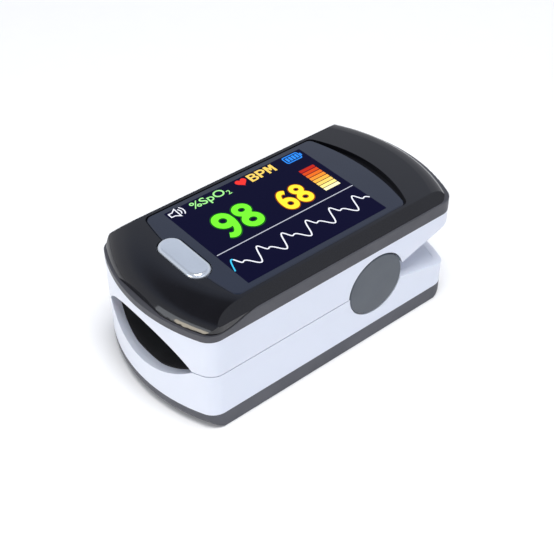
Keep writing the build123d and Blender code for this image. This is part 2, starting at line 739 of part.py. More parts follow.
def window_face(gap, rear_x, rear_bow):
    """Outline of the display window, or of its recess, with bowed ends."""
    half = window_half + gap
    front = window_front_x - gap
    rear = rear_x + gap
    with BuildSketch(Plane.XY, mode=Mode.PRIVATE) as face:
        with BuildLine():
            ThreePointArc((front, -half), (front - window_front_bow, 0), (front, half))
            Line((front, half), (rear, half))
            ThreePointArc((rear, half), (rear + rear_bow, 0), (rear, -half))
            Line((rear, -half), (front, -half))
        make_face()
        fillet(face.vertices(), radius=window_corner)
    return face.sketch


button_hole = stadium(button_length + 2 * button_gap, button_width + 2 * button_gap, cover_low,
                      inner_height)
button_pocket = stadium(button_length + 2.0, button_width + 2.0, cover_low, deck_z - cover_skin)
panel_x = (-17.0, 15.2)
panel_half = 12.1
panel_corner = 0.4
ledge_bottom = 22.9

with BuildPart() as top_cover:
    add(dome(0, 0))
    add(dome(cover_skin, cover_skin), mode=Mode.SUBTRACT)
    # ledge under the window
    with BuildSketch(Plane.XY.offset(ledge_bottom)):
        add(window_face(0.5, recess_rear_x, recess_rear_bow))
    extrude(amount=window_bottom - ledge_bottom)
    add(dome(0, 0), mode=Mode.INTERSECT)
    with BuildSketch(Plane.XY.offset(window_bottom - fit_gap)):
        add(window_face(window_gap, recess_rear_x, recess_rear_bow))
    extrude(amount=2 * window_thickness, mode=Mode.SUBTRACT)
    add(slab((panel_x[0] - 0.2, panel_x[1] + 0.2), (-panel_half - 0.2, panel_half + 0.2),
             (cover_low, inner_height)), mode=Mode.SUBTRACT)
    add(button_hole, mode=Mode.SUBTRACT)
    add(button_pocket, mode=Mode.SUBTRACT)
    add(ring_profile(fit_gap, cover_low - 1), mode=Mode.SUBTRACT)
finish(top_cover, "top_cover")

with BuildPart() as display_window:
    with BuildSketch(Plane.XY.offset(window_bottom)):
        add(window_face(0, window_rear_x, window_rear_bow))
    extrude(amount=window_thickness)
    chamfer(display_window.faces().sort_by(Axis.Z)[-1].edges(), length=window_chamfer)
    add(button_hole, mode=Mode.SUBTRACT)
finish(display_window, "display_window")

# ---- upper half: electronics -----------------------------------------------------------------------
main_board_top = main_board_z + board_thickness
panel_bottom = 22.1
panel_top = window_bottom - fit_gap
frame_wall = 0.8
frame_lip = 2.0               # how far the frame reaches in under the panel

with BuildPart() as display_panel:
    add(slab(panel_x, (-panel_half, panel_half), (panel_bottom, panel_top)))
    fillet(display_panel.edges().filter_by(Axis.Z), radius=panel_corner)
finish(display_panel, "display_panel")

with BuildPart() as display_frame:
    add(slab((panel_x[0] - frame_wall, panel_x[1] + frame_wall),
             (-panel_half - frame_wall, panel_half + frame_wall), (main_board_top, ledge_bottom - 0.1)))
    add(slab((panel_x[0] - 0.1, panel_x[1] + 0.1), (-panel_half - 0.1, panel_half + 0.1),
             (panel_bottom - 0.1, inner_height)), mode=Mode.SUBTRACT)
    add(slab((panel_x[0] + frame_lip, panel_x[1] - frame_lip),
             (-panel_half + frame_lip, panel_half - frame_lip), (cover_low, inner_height)),
        mode=Mode.SUBTRACT)
finish(display_frame, "display_frame")

board_front_x = -25.0
board_rear_x = 26.0
board_half = 13.3
board_corner = 2.5
board_hole_radius = 1.0
flex_x = 12.3
flex_half = 3.0
flex_thickness = 0.2
# main board's chips: middle x and y, length, width and height
chips = ((18.5, -5.5, 6.0, 6.0, 1.0), (4.0, -4.0, 4.0, 3.4, 0.9), (-1.0, 5.0, 3.2, 2.6, 0.9),
         (4.5, 3.0, 2.0, 1.2, 0.6))
buzzer_spot = (20.0, 4.4)
buzzer_radius = 4.0
buzzer_height = 1.9
buzzer_hole = (0.8, 0.8)      # radius and depth

with BuildPart() as main_board:
    add(slab((board_front_x, board_rear_x), (-board_half, board_half), (main_board_z, main_board_top)))
    fillet(main_board.edges().filter_by(Axis.Z), radius=board_corner)
    with Locations(*[(x, y, main_board_top) for x, y in post_spots]):
        Hole(board_hole_radius)
finish(main_board, "main_board")

with BuildPart() as board_chips:
    for x, y, size_x, size_y, height in chips:
        add(slab((x - size_x / 2, x + size_x / 2), (y - size_y / 2, y + size_y / 2),
                 (main_board_z - height, main_board_z)))
finish(board_chips, "board_chips")

with BuildPart() as buzzer:
    with BuildSketch(Plane.XY.offset(main_board_z - buzzer_height)):
        with Locations(buzzer_spot):
            Circle(buzzer_radius)
    extrude(amount=buzzer_height)
    with BuildSketch(Plane.XY.offset(main_board_z - buzzer_height)):
        with Locations(buzzer_spot):
            Circle(buzzer_hole[0])
    extrude(amount=buzzer_hole[1], mode=Mode.SUBTRACT)
finish(buzzer, "buzzer")

with BuildPart() as board_screws:
    for x, y in post_spots:
        with BuildSketch(Plane.XY.offset(main_board_top)):
            with Locations((x, y)):
                Circle(board_screw_head[0])
        extrude(amount=board_screw_head[1])
        with BuildSketch(Plane.XY.offset(board_screw_tip)):
            with Locations((x, y)):
                Circle(board_screw_radius)
        extrude(amount=main_board_top - board_screw_tip)
finish(board_screws, "board_screws")

with BuildPart() as flex_cable:
    add(slab((flex_x, flex_x + flex_thickness), (-flex_half, flex_half),
             (charger_board_z + board_thickness, main_board_z)))
finish(flex_cable, "flex_cable")

# ---- power button ----------------------------------------------------------------------------------
switch_height = 0.9
switch_half = 2.2
plunger_radius = 1.1
plunger_play = 0.1
plunger_rise = 0.65           # plunger's underside above the board
flange_bottom = 22.85
flange_height = 0.6
flange_extra = 1.2
button_edge = 0.7

with BuildPart() as switch_body:
    add(slab((button_x - switch_half, button_x + switch_half), (-switch_half, switch_half),
             (main_board_top, main_board_top + switch_height)))
    with BuildSketch(Plane.XY.offset(main_board_top + 0.2)):
        with Locations((button_x, 0)):
            Circle(plunger_radius + plunger_play)
    extrude(amount=switch_height, mode=Mode.SUBTRACT)
finish(switch_body, "switch_body")

with BuildPart() as power_button:
    add(stadium(button_length, button_width, flange_bottom, button_top))
    fillet(power_button.faces().sort_by(Axis.Z)[-1].edges(), radius=button_edge)
    add(stadium(button_length + flange_extra, button_width + flange_extra, flange_bottom,
                flange_bottom + flange_height))
finish(power_button, "power_button")

with BuildPart() as switch_plunger:
    with BuildSketch(Plane.XY.offset(main_board_top + plunger_rise)):
        with Locations((button_x, 0)):
            Circle(plunger_radius)
    extrude(amount=flange_bottom - main_board_top - plunger_rise)
finish(switch_plunger, "switch_plunger")
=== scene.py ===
"""Looks of the fingertip pulse oximeter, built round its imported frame. Metres, +X rear, +Z up."""

import json
import math

import bpy
import bmesh
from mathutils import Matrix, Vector


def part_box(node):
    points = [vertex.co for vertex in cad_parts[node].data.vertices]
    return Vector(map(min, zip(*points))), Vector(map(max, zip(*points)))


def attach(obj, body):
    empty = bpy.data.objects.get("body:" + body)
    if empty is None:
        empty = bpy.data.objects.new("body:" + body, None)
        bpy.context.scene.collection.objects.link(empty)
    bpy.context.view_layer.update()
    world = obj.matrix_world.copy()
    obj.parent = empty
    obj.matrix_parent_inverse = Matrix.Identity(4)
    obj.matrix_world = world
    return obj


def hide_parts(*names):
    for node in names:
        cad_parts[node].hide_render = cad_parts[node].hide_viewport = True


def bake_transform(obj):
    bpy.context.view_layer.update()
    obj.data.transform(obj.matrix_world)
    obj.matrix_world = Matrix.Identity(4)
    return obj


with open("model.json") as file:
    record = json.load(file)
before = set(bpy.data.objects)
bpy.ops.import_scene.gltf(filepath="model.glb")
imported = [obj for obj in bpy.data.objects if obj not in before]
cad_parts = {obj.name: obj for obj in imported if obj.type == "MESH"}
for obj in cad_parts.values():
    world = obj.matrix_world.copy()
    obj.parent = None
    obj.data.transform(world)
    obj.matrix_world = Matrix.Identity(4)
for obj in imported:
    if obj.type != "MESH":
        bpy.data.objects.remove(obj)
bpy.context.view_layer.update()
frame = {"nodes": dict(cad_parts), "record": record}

MM = 0.001
WINDOW_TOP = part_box("display_window")[1].z

# ---- camera, floor and light ---------------------------------------------------------------------
CAMERA_AT = Vector((-0.09767, -0.11585, 0.14160))
CAMERA_AIM = Vector((-0.0011, -0.0003, 0.0099))
CAMERA_LENS = 71.44
FLOOR_HALF = 3.0


def add_camera():
    data = bpy.data.cameras.new("camera")
    data.lens = CAMERA_LENS
    data.sensor_width = 36.0
    data.clip_start = 0.005
    camera = bpy.data.objects.new("camera", data)
    camera.location = CAMERA_AT
    camera.rotation_euler = (CAMERA_AIM - CAMERA_AT).to_track_quat("-Z", "Y").to_euler()
    bpy.context.scene.collection.objects.link(camera)
    bpy.context.scene.camera = camera


def add_area(name, at, aim, size, power, colour=(1, 1, 1)):
    """Soft box at a point, facing another."""
    data = bpy.data.lights.new(name, "AREA")
    data.shape = "RECTANGLE"
    data.size, data.size_y = size
    data.energy = power
    data.color = colour
    light = bpy.data.objects.new(name, data)
    light.location = at
    light.rotation_euler = (Vector(aim) - Vector(at)).to_track_quat("-Z", "Y").to_euler()
    bpy.context.scene.collection.objects.link(light)


def add_world():
    """Pale studio surround that darkens overhead, so that the gloss cover stays black."""
    world = bpy.data.worlds.new("studio")
    world.use_nodes = True
    tree = world.node_tree
    tree.nodes.clear()
    output = tree.nodes.new("ShaderNodeOutputWorld")
    background = tree.nodes.new("ShaderNodeBackground")
    direction = tree.nodes.new("ShaderNodeTexCoord")
    split = tree.nodes.new("ShaderNodeSeparateXYZ")
    ramp = tree.nodes.new("ShaderNodeValToRGB")
    levels = ((0.0, (0.95, 0.96, 1.0)), (0.55, (0.80, 0.84, 0.95)), (0.70, (0.50, 0.56, 0.72)),
              (0.80, (0.16, 0.17, 0.20)), (1.0, (0.10, 0.10, 0.11)))
    while len(ramp.color_ramp.elements) < len(levels):
        ramp.color_ramp.elements.new(0.5)
    for element, (height, colour) in zip(ramp.color_ramp.elements, levels):
        element.position = height
        element.color = (*colour, 1)
    background.inputs["Strength"].default_value = 0.68
    tree.links.new(direction.outputs["Generated"], split.inputs[0])
    tree.links.new(split.outputs["Z"], ramp.inputs["Fac"])
    tree.links.new(ramp.outputs["Color"], background.inputs["Color"])
    tree.links.new(background.outputs[0], output.inputs[0])
    bpy.context.scene.world = world
    bpy.context.scene.view_settings.view_transform = "Standard"


# ---- materials -----------------------------------------------------------------------------------
def principled(name, base, roughness, metallic=0.0, specular=0.5, coat=0.0, coat_roughness=0.03,
               emission=None, strength=0.0, subsurface=0.0):
    """Principled material; every value that is the same all over sits on the shader's own socket."""
    material = bpy.data.materials.new(name)
    material.use_nodes = True
    shader = material.node_tree.nodes["Principled BSDF"]
    shader.inputs["Base Color"].default_value = (*base, 1)
    shader.inputs["Roughness"].default_value = roughness
    shader.inputs["Metallic"].default_value = metallic
    shader.inputs["Specular IOR Level"].default_value = specular
    shader.inputs["Coat Weight"].default_value = coat
    shader.inputs["Coat Roughness"].default_value = coat_roughness
    shader.inputs["Subsurface Weight"].default_value = subsurface
    if emission:
        shader.inputs["Emission Color"].default_value = (*emission, 1)
        shader.inputs["Emission Strength"].default_value = strength
    return material


def noise(material, scale, detail=3.0):
    """Noise over the object's own coordinates; scale is in features per metre."""
    tree = material.node_tree
    coordinates = tree.nodes.new("ShaderNodeTexCoord")
    texture = tree.nodes.new("ShaderNodeTexNoise")
    texture.inputs["Scale"].default_value = scale
    texture.inputs["Detail"].default_value = detail
    tree.links.new(coordinates.outputs["Object"], texture.inputs["Vector"])
    return texture


def vary_colour(material, low, high, scale, detail=3.0):
    """Base colour that wanders between two near colours."""
    tree = material.node_tree
    texture = noise(material, scale, detail)
    ramp = tree.nodes.new("ShaderNodeValToRGB")
    ramp.color_ramp.elements[0].position = 0.3
    ramp.color_ramp.elements[0].color = (*low, 1)
    ramp.color_ramp.elements[1].position = 0.7
    ramp.color_ramp.elements[1].color = (*high, 1)
    tree.links.new(texture.outputs["Fac"], ramp.inputs["Fac"])
    tree.links.new(ramp.outputs["Color"], tree.nodes["Principled BSDF"].inputs["Base Color"])


def vary_roughness(material, low, high, scale):
    """Roughness that wanders, as on handled plastic."""
    tree = material.node_tree
    texture = noise(material, scale)
    spread = tree.nodes.new("ShaderNodeMapRange")
    spread.inputs["From Min"].default_value = 0.3
    spread.inputs["From Max"].default_value = 0.7
    spread.inputs["To Min"].default_value = low
    spread.inputs["To Max"].default_value = high
    tree.links.new(texture.outputs["Fac"], spread.inputs["Value"])
    tree.links.new(spread.outputs["Result"], tree.nodes["Principled BSDF"].inputs["Roughness"])


def grain(material, scale, depth, strength=0.5, detail=4.0):
    """Moulded grain as bump; depth is in metres."""
    tree = material.node_tree
    texture = noise(material, scale, detail)
    bump = tree.nodes.new("ShaderNodeBump")
    bump.inputs["Strength"].default_value = strength
    bump.inputs["Distance"].default_value = depth
    tree.links.new(texture.outputs["Fac"], bump.inputs["Height"])
    tree.links.new(bump.outputs["Normal"], tree.nodes["Principled BSDF"].inputs["Normal"])


def scaled(colour, factor):
    """The same colour, lighter or darker."""
    return tuple(min(1.0, channel * factor) for channel in colour)


def plastic(name, base, roughness, spread=0.06, grain_scale=9000, grain_depth=8e-6, **more):
    """Moulded plastic: slight colour and gloss variation over a fine grain."""
    material = principled(name, base, roughness, **more)
    vary_colour(material, scaled(base, 1 - spread), scaled(base, 1 + spread), 160)
    vary_roughness(material, roughness * 0.88, roughness * 1.12, 220)
    grain(material, grain_scale, grain_depth)
    return material


def glowing(name, colour, strength=1.0):
    """Lit pixels of the screen, under the window's gloss."""
    material = principled(name, scaled(colour, 0.2), 0.4, specular=0.04, emission=colour,
                          strength=strength)
    grain(material, 12000, 1e-6)
    return material


def make_materials():
    """One material for each of the record's slots, and those of the pieces added here."""
    made = {
        "white_shell": plastic("white_shell", (0.66, 0.69, 0.78), 0.32, 0.006, 9000, 2e-6,
                               specular=0.5, coat=0.25, coat_roughness=0.12, subsurface=0.03),
        "grey_base": plastic("grey_base", (0.058, 0.061, 0.075), 0.55, 0.10, 6500, 3e-5),
        "grey_ring": plastic("grey_ring", (0.050, 0.051, 0.062), 0.50, 0.12, 6500, 3e-5),
        "grey_cap": plastic("grey_cap", (0.060, 0.072, 0.088), 0.42, 0.06, 6500, 1.2e-5),
        "black_cover": plastic("black_cover", (0.006, 0.006, 0.008), 0.10, 0.1, 3000, 1.5e-6,
                               specular=0.35, coat=0.35, coat_roughness=0.04),
        "tinted_window": plastic("tinted_window", (0.013, 0.018, 0.034), 0.07, 0.05, 2500, 8e-7,
                                 specular=0.5, coat=0.3, coat_roughness=0.03),
        "silver_button": plastic("silver_button", (0.66, 0.72, 0.80), 0.22, 0.04, 15000, 3e-6,
                                 metallic=0.6, coat=0.6, coat_roughness=0.08),
        "black_silicone": plastic("black_silicone", (0.018, 0.018, 0.020), 0.62, 0.15, 5000, 2e-5),
        "tray_plastic": plastic("tray_plastic", (0.035, 0.035, 0.038), 0.5, 0.12, 6000, 2e-5),
        "circuit_board": plastic("circuit_board", (0.012, 0.12, 0.045), 0.30, 0.25, 4000, 6e-6, coat=0.4),
        "chip_black": plastic("chip_black", (0.02, 0.02, 0.021), 0.55, 0.15, 9000, 1e-5),
        "switch_nylon": plastic("switch_nylon", (0.55, 0.52, 0.42), 0.45, 0.06, 7000, 8e-6),
        "steel_wire": plastic("steel_wire", (0.62, 0.62, 0.64), 0.24, 0.05, 8000, 4e-6, metallic=1.0),
        "screw_steel": plastic("screw_steel", (0.42, 0.42, 0.45), 0.32, 0.08, 9000, 5e-6, metallic=1.0),
        "cell_pouch": plastic("cell_pouch", (0.58, 0.60, 0.63), 0.36, 0.05, 1200, 4e-5, metallic=0.9),
        "flex_film": plastic("flex_film", (0.42, 0.17, 0.03), 0.28, 0.12, 5000, 5e-6, coat=0.5),
        "panel_glass": plastic("panel_glass", (0.010, 0.010, 0.03), 0.12, 0.1, 3000, 1e-6),
        "clear_window": plastic("clear_window", (0.86, 0.90, 0.93), 0.08, 0.03, 3000, 1e-6, coat=0.5),
        "copper_pad": plastic("copper_pad", (0.80, 0.52, 0.20), 0.30, 0.1, 8000, 4e-6, metallic=1.0),
        "screen_navy": glowing("screen_navy", (0.0030, 0.0030, 0.022), 1.0),
        "lit_white": glowing("lit_white", (0.86, 0.88, 0.95)),
        "lit_green": glowing("lit_green", (0.16, 0.95, 0.030), 1.1),
        "glow_green": glowing("glow_green", (0.012, 0.10, 0.010)),
        "lit_yellow": glowing("lit_yellow", (1.0, 0.78, 0.04), 1.0),
        "glow_orange": glowing("glow_orange", (0.30, 0.06, 0.004)),
        "lit_pale_green": glowing("lit_pale_green", (0.36, 0.86, 0.28)),
        "lit_pale_yellow": glowing("lit_pale_yellow", (0.90, 0.62, 0.13)),
        "lit_red": glowing("lit_red", (0.82, 0.035, 0.03)),
        "lit_blue": glowing("lit_blue", (0.03, 0.26, 0.90)),
        "lit_cyan": glowing("lit_cyan", (0.05, 0.55, 0.85)),
        "lit_line": glowing("lit_line", (0.50, 0.52, 0.60)),
    }
    return made


materials = make_materials()


# ---- mesh helpers --------------------------------------------------------------------------------
def mesh_piece(name, mesh, material, body):
    """Object for a finished mesh, riding on a body and taking its finish from a slot."""
    piece = bpy.data.objects.new(name, mesh)
    bpy.context.scene.collection.objects.link(piece)
    piece.data.materials.append(materials[material])
    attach(piece, body)
    return piece


def add_outline(shape, outline, low, high):
    """Flat outline (x, y), given in order, as a solid between two heights."""
    ground = [shape.verts.new((x, y, low)) for x, y in outline]
    raised = [shape.verts.new((x, y, high)) for x, y in outline]
    shape.faces.new(list(reversed(ground)))
    shape.faces.new(raised)
    for index in range(len(outline)):
        following = (index + 1) % len(outline)
        shape.faces.new((ground[index], ground[following], raised[following], raised[index]))


SHARPEST_MITRE = 0.35          # keeps a sharp turn's corner from running out


def stroke_sides(points, width, closed):
    """Left and right edge of a stroke of even width along points, mitred at the turns."""
    count = len(points)
    sides = []
    for index, point in enumerate(points):
        here = Vector(point)
        before = Vector(points[index - 1]) if index or closed else None
        after = Vector(points[(index + 1) % count]) if index < count - 1 or closed else None
        first = (here - before).normalized() if before else (after - here).normalized()
        second = (after - here).normalized() if after else first
        normal = Vector((-(first + second).y, (first + second).x)).normalized()
        reach = width / 2 / max(SHARPEST_MITRE, normal.dot(Vector((-first.y, first.x))))
        sides.append((here + normal * reach, here - normal * reach))
    return sides


def add_stroke(shape, points, width, low, high, closed=False):
    """Stroke along points as one closed solid."""
    rings = []
    for left, right in stroke_sides(points, width, closed):
        corners = ((left, low), (right, low), (right, high), (left, high))
        rings.append([shape.verts.new((*side, z)) for side, z in corners])
    following = rings[1:] + rings[:1] if closed else rings[1:]
    for here, there in zip(rings, following):
        for corner in range(4):
            beside = (corner + 1) % 4
            shape.faces.new((here[corner], here[beside], there[beside], there[corner]))
    if not closed:
        shape.faces.new(rings[0])
        shape.faces.new(list(reversed(rings[-1])))


def finished(shape, name):
    """Mesh of a bmesh, with its faces turned outwards."""
    bmesh.ops.recalc_face_normals(shape, faces=shape.faces)
    mesh = bpy.data.meshes.new(name)
    shape.to_mesh(mesh)
    shape.free()
    return mesh


def arc(centre, radius, start, end, steps):
    """Points on an arc, in degrees."""
    angles = [math.radians(start + (end - start) * step / steps) for step in range(steps + 1)]
    return [(centre[0] + radius * math.cos(a), centre[1] + radius * math.sin(a)) for a in angles]


def rounded(x_range, y_range, radius, steps=6):
    """Rectangle with round corners, counter-clockwise."""
    (x0, x1), (y0, y1) = x_range, y_range
    return (arc((x1 - radius, y0 + radius), radius, -90, 0, steps)
            + arc((x1 - radius, y1 - radius), radius, 0, 90, steps)
            + arc((x0 + radius, y1 - radius), radius, 90, 180, steps)
            + arc((x0 + radius, y0 + radius), radius, 180, 270, steps))


# ---- screen --------------------------------------------------------------------------------------
SCREEN_X = (-16.54 * MM, 14.2 * MM)
SCREEN_HALF = 11.66 * MM
LAYER = 0.03 * MM              # each printed or lit layer stands this much proud of the last


def layer(number):
    """Low and high of a lit layer above the window."""
    return WINDOW_TOP + (number - 1) * LAYER - 0.01 * MM, WINDOW_TOP + number * LAYER


def lit(name, number, material, outlines=(), strokes=()):
    """Lit shape on the screen, in millimetres: filled outlines, and strokes (points, width, closed)."""
    shape = bmesh.new()
    low, high = layer(number)
    for outline in outlines:
        add_outline(shape, [(x * MM, y * MM) for x, y in outline], low, high)
    for points, width, closed in strokes:
        add_stroke(shape, [(x * MM, y * MM) for x, y in points], width * MM, low, high, closed)
    return mesh_piece(name, finished(shape, name), material, "upper_half")


def lettering(name, words, left, bottom, height, width, number, material, weight=0.0):
    """Numerals or a unit fitted to a box in millimetres, in the plain built-in face."""
    curve = bpy.data.curves.new(name, "FONT")
    curve.body = words
    curve.size = 1.0
    curve.offset = weight
    curve.resolution_u = 8
    holder = bpy.data.objects.new(name + "_curve", curve)
    bpy.context.scene.collection.objects.link(holder)
    bpy.context.view_layer.update()
    flat = bpy.data.meshes.new_from_object(holder)
    bpy.data.objects.remove(holder)
    xs = [v.co.x for v in flat.vertices]
    ys = [v.co.y for v in flat.vertices]
    stretch_x = width * MM / (max(xs) - min(xs))
    stretch_y = height * MM / (max(ys) - min(ys))
    low, high = layer(number)
    shape = bmesh.new()
    shape.from_mesh(flat)
    for vertex in shape.verts:
        vertex.co.x = left * MM + (vertex.co.x - min(xs)) * stretch_x
        vertex.co.y = bottom * MM + (vertex.co.y - min(ys)) * stretch_y
        vertex.co.z = low
    bmesh.ops.remove_doubles(shape, verts=shape.verts, dist=1e-7)
    top = bmesh.ops.extrude_face_region(shape, geom=shape.faces)["geom"]
    for vertex in (item for item in top if isinstance(item, bmesh.types.BMVert)):
        vertex.co.z = high
    return mesh_piece(name, finished(shape, name), material, "upper_half")


def oval(centre, half_x, half_y, start=0, end=360, steps=40):
    """Points on an ellipse between two angles in degrees."""
    angles = [math.radians(start + (end - start) * step / steps) for step in range(steps + 1)]
    return [(centre[0] + half_x * math.cos(a), centre[1] + half_y * math.sin(a)) for a in angles]


def inside(point, centre, half_x, half_y):
    """True if a point lies within an ellipse."""
    return ((point[0] - centre[0]) / half_x) ** 2 + ((point[1] - centre[1]) / half_y) ** 2 < 1


def digit_eight(grow):
    """Outline and two holes of an 8 in a box 1 wide and 1.5 high, emboldened by grow."""
    low, low_x, low_y = (0.5, 0.42), 0.50 + grow, 0.42 + grow
    high, high_x, high_y = (0.5, 1.12), 0.45 + grow, 0.38 + grow
    below = [p for p in oval(low, low_x, low_y, 90, 450) if not inside(p, high, high_x, high_y)]
    above = [p for p in oval(high, high_x, high_y, -90, 270) if not inside(p, low, low_x, low_y)]
    holes = [oval(low, 0.20 - grow, 0.15 - grow)[:-1], oval(high, 0.17 - grow, 0.13 - grow)[:-1]]
    return [below + above] + holes


def digit_six(grow):
    """Outline and hole of a 6 in the same box: a ring with a stem that curls over it."""
    ring, ring_x, ring_y = (0.5, 0.46), 0.50 + grow, 0.46 + grow
    curl, outer_x, outer_y = (0.64, 0.50), 0.64 + grow, 1.00 + grow
    inner_x, inner_y = 0.33 - grow, 0.72 - grow
    stem_out = oval(curl, outer_x, outer_y, 62, 180)
    ring_out = [p for p in oval(ring, ring_x, ring_y, 180, 480)
                if p[1] < ring[1] or inside(p, curl, inner_x, inner_y) or p[0] > curl[0]]
    stem_in = [p for p in oval(curl, inner_x, inner_y, 180, 66) if not inside(p, ring, ring_x, ring_y)]
    return [stem_out + ring_out[1:] + stem_in, oval(ring, 0.20 - grow, 0.17 - grow)[:-1]]


def digit_nine(grow):
    """A 6 turned half round."""
    return [[(1 - x, 1.5 - y) for x, y in outline] for outline in digit_six(grow)]


def letter_b():
    """Outline and two holes of a B in the same box."""
    right = oval((0.55, 0.42), 0.45, 0.42, -90, 60) + oval((0.52, 1.10), 0.42, 0.40, -50, 90)
    holes = [[(0.28, 0.24)] + oval((0.52, 0.44), 0.22, 0.20, -90, 90) + [(0.28, 0.64)],
             [(0.28, 0.90)] + oval((0.50, 1.08), 0.18, 0.18, -90, 90) + [(0.28, 1.26)]]
    return [[(0, 0)] + right + [(0, 1.5)]] + holes


def letter_p():
    """Outline and hole of a P in the same box."""
    bowl = oval((0.54, 1.02), 0.44, 0.48, -90, 90)
    hole = [(0.28, 0.78)] + oval((0.50, 1.02), 0.22, 0.24, -90, 90) + [(0.28, 1.26)]
    return [[(0, 0), (0.28, 0), (0.28, 0.54)] + bowl + [(0, 1.5)], hole]


def letter_m():
    """Outline of an M in the same box."""
    return [[(0, 0), (0.25, 0), (0.25, 1.0), (0.42, 0.45), (0.58, 0.45), (0.75, 1.0), (0.75, 0), (1, 0),
             (1, 1.5), (0.68, 1.5), (0.5, 0.88), (0.32, 1.5), (0, 1.5)]]


def reading(name, glyphs, left, bottom, height, width, number, material):
    """Bold numerals or letters in a box in millimetres, as filled curves made into a solid layer."""
    curve = bpy.data.curves.new(name, "CURVE")
    curve.dimensions = "2D"
    curve.fill_mode = "BOTH"
    low, high = layer(number)
    curve.extrude = (high - low) / 2
    pitch = 1.10
    across = width / (len(glyphs) - 1 + 1 / pitch) / pitch
    for place, glyph in enumerate(glyphs):
        for outline in glyph:
            spline = curve.splines.new("POLY")
            spline.points.add(len(outline) - 1)
            for point, (x, y) in zip(spline.points, outline):
                point.co = ((left + (x + place * pitch) * across) * MM,
                            (bottom + y / 1.5 * height) * MM, 0, 1)
            spline.use_cyclic_u = True
    holder = bpy.data.objects.new(name + "_curve", curve)
    bpy.context.scene.collection.objects.link(holder)
    bpy.context.view_layer.update()
    mesh = bpy.data.meshes.new_from_object(holder)
    mesh.name = name
    bpy.data.objects.remove(holder)
    mesh.materials.clear()
    for vertex in mesh.vertices:
        vertex.co.z += (low + high) / 2
    return mesh_piece(name, mesh, material, "upper_half")


def pulse(phase):
    """Height of the pulse wave, 0 to 1, over one beat: smooth rise, fall to a notch, small crest, fall."""
    turns = ((0.0, 0.0), (0.36, 1.0), (0.55, 0.53), (0.64, 0.58), (1.0, 0.0))
    for (x0, y0), (x1, y1) in zip(turns, turns[1:]):
        if phase <= x1:
            t = (phase - x0) / (x1 - x0)
            return y0 + (y1 - y0) * t * t * (3 - 2 * t)
    return 0.0


def wave_points(start, end, origin, period, trough, crest, steps):
    """Points of the pulse wave along the screen; origin is where a beat begins."""
    points = []
    for step in range(steps + 1):
        x = start + (end - start) * step / steps
        points.append((x, trough + (crest - trough) * pulse((x - origin) / period % 1)))
    return points


def heart(centre_x, centre_y, width):
    """Heart outline."""
    points = []
    for step in range(48):
        t = 2 * math.pi * step / 48
        x = 16 * math.sin(t) ** 3
        y = 13 * math.cos(t) - 5 * math.cos(2 * t) - 2 * math.cos(3 * t) - math.cos(4 * t)
        points.append((centre_x + x / 32 * width, centre_y + y / 32 * width))
    return list(reversed(points))


# places on the screen, in millimetres
RULE_Y = -3.08
RULE_WIDTH = 0.17
WAVE_START, WAVE_END = -16.4, 14.1
WAVE_TROUGH, WAVE_CREST = -9.05, -5.35
WAVE_WIDTH = 0.24
WAVE_STEPS = 180
CYAN_STEPS = 9                 # the first part of the wave is cyan
BEAT_ORIGIN = -17.05           # where a beat begins, just off the screen
BEAT_LENGTH = 5.4


def add_status_icons():
    """Speaker, units, heart and battery along the far edge."""
    x, y = -16.05, 10.5
    cone = [(x, y - 0.5), (x + 0.75, y - 0.5), (x + 1.6, y - 1.15), (x + 1.6, y + 1.15), (x + 0.75, y + 0.5),
            (x, y + 0.5)]
    waves = [(arc((x + 1.2, y), radius, -40, 40, 8), 0.2, False) for radius in (1.05, 1.65)]
    lit("icon_speaker", 2, "lit_white", strokes=[(cone, 0.2, True)] + waves)
    lettering("unit_oxygen", "%SpO", -11.7, 8.75, 2.5, 7.1, 2, "lit_pale_green", 0.006)
    lettering("unit_oxygen_2", "2", -4.4, 8.9, 1.15, 0.75, 2, "lit_pale_green", 0.006)
    lit("icon_heart", 2, "lit_red", [heart(-0.5, 10.35, 2.3)])
    reading("unit_rate", (letter_b(), letter_p(), letter_m()), 1.1, 9.1, 2.2, 5.8, 2, "lit_pale_yellow")
    case = rounded((9.6, 13.0), (9.3, 11.2), 0.3, 3)
    bars = [rounded((10.0 + 0.72 * bar, 10.5 + 0.72 * bar), (9.65, 10.85), 0.06, 2) for bar in range(4)]
    tip = rounded((13.2, 13.5), (9.85, 10.65), 0.1, 3)
    lit("icon_battery", 2, "lit_blue", bars + [tip], [(case, 0.24, True)])


def add_gauge():
    """Strength gauge: bars from red at the top to cream."""
    colours = [(0.50, 0.02, 0.01), (0.64, 0.06, 0.01), (0.78, 0.15, 0.015), (0.88, 0.28, 0.03),
               (0.94, 0.45, 0.06), (0.97, 0.64, 0.14), (0.98, 0.80, 0.26), (0.98, 0.90, 0.52)]
    bottom, top = -1.45, 6.25
    pitch = (top - bottom) / len(colours)
    for index, colour in enumerate(colours):
        name = f"gauge_bar_{index + 1}"
        materials[name] = glowing(name, colour)
        bar_top = top - index * pitch
        lit(name, 2, name, [rounded((9.45, 12.9), (bar_top - pitch + 0.20, bar_top), 0.05, 2)])


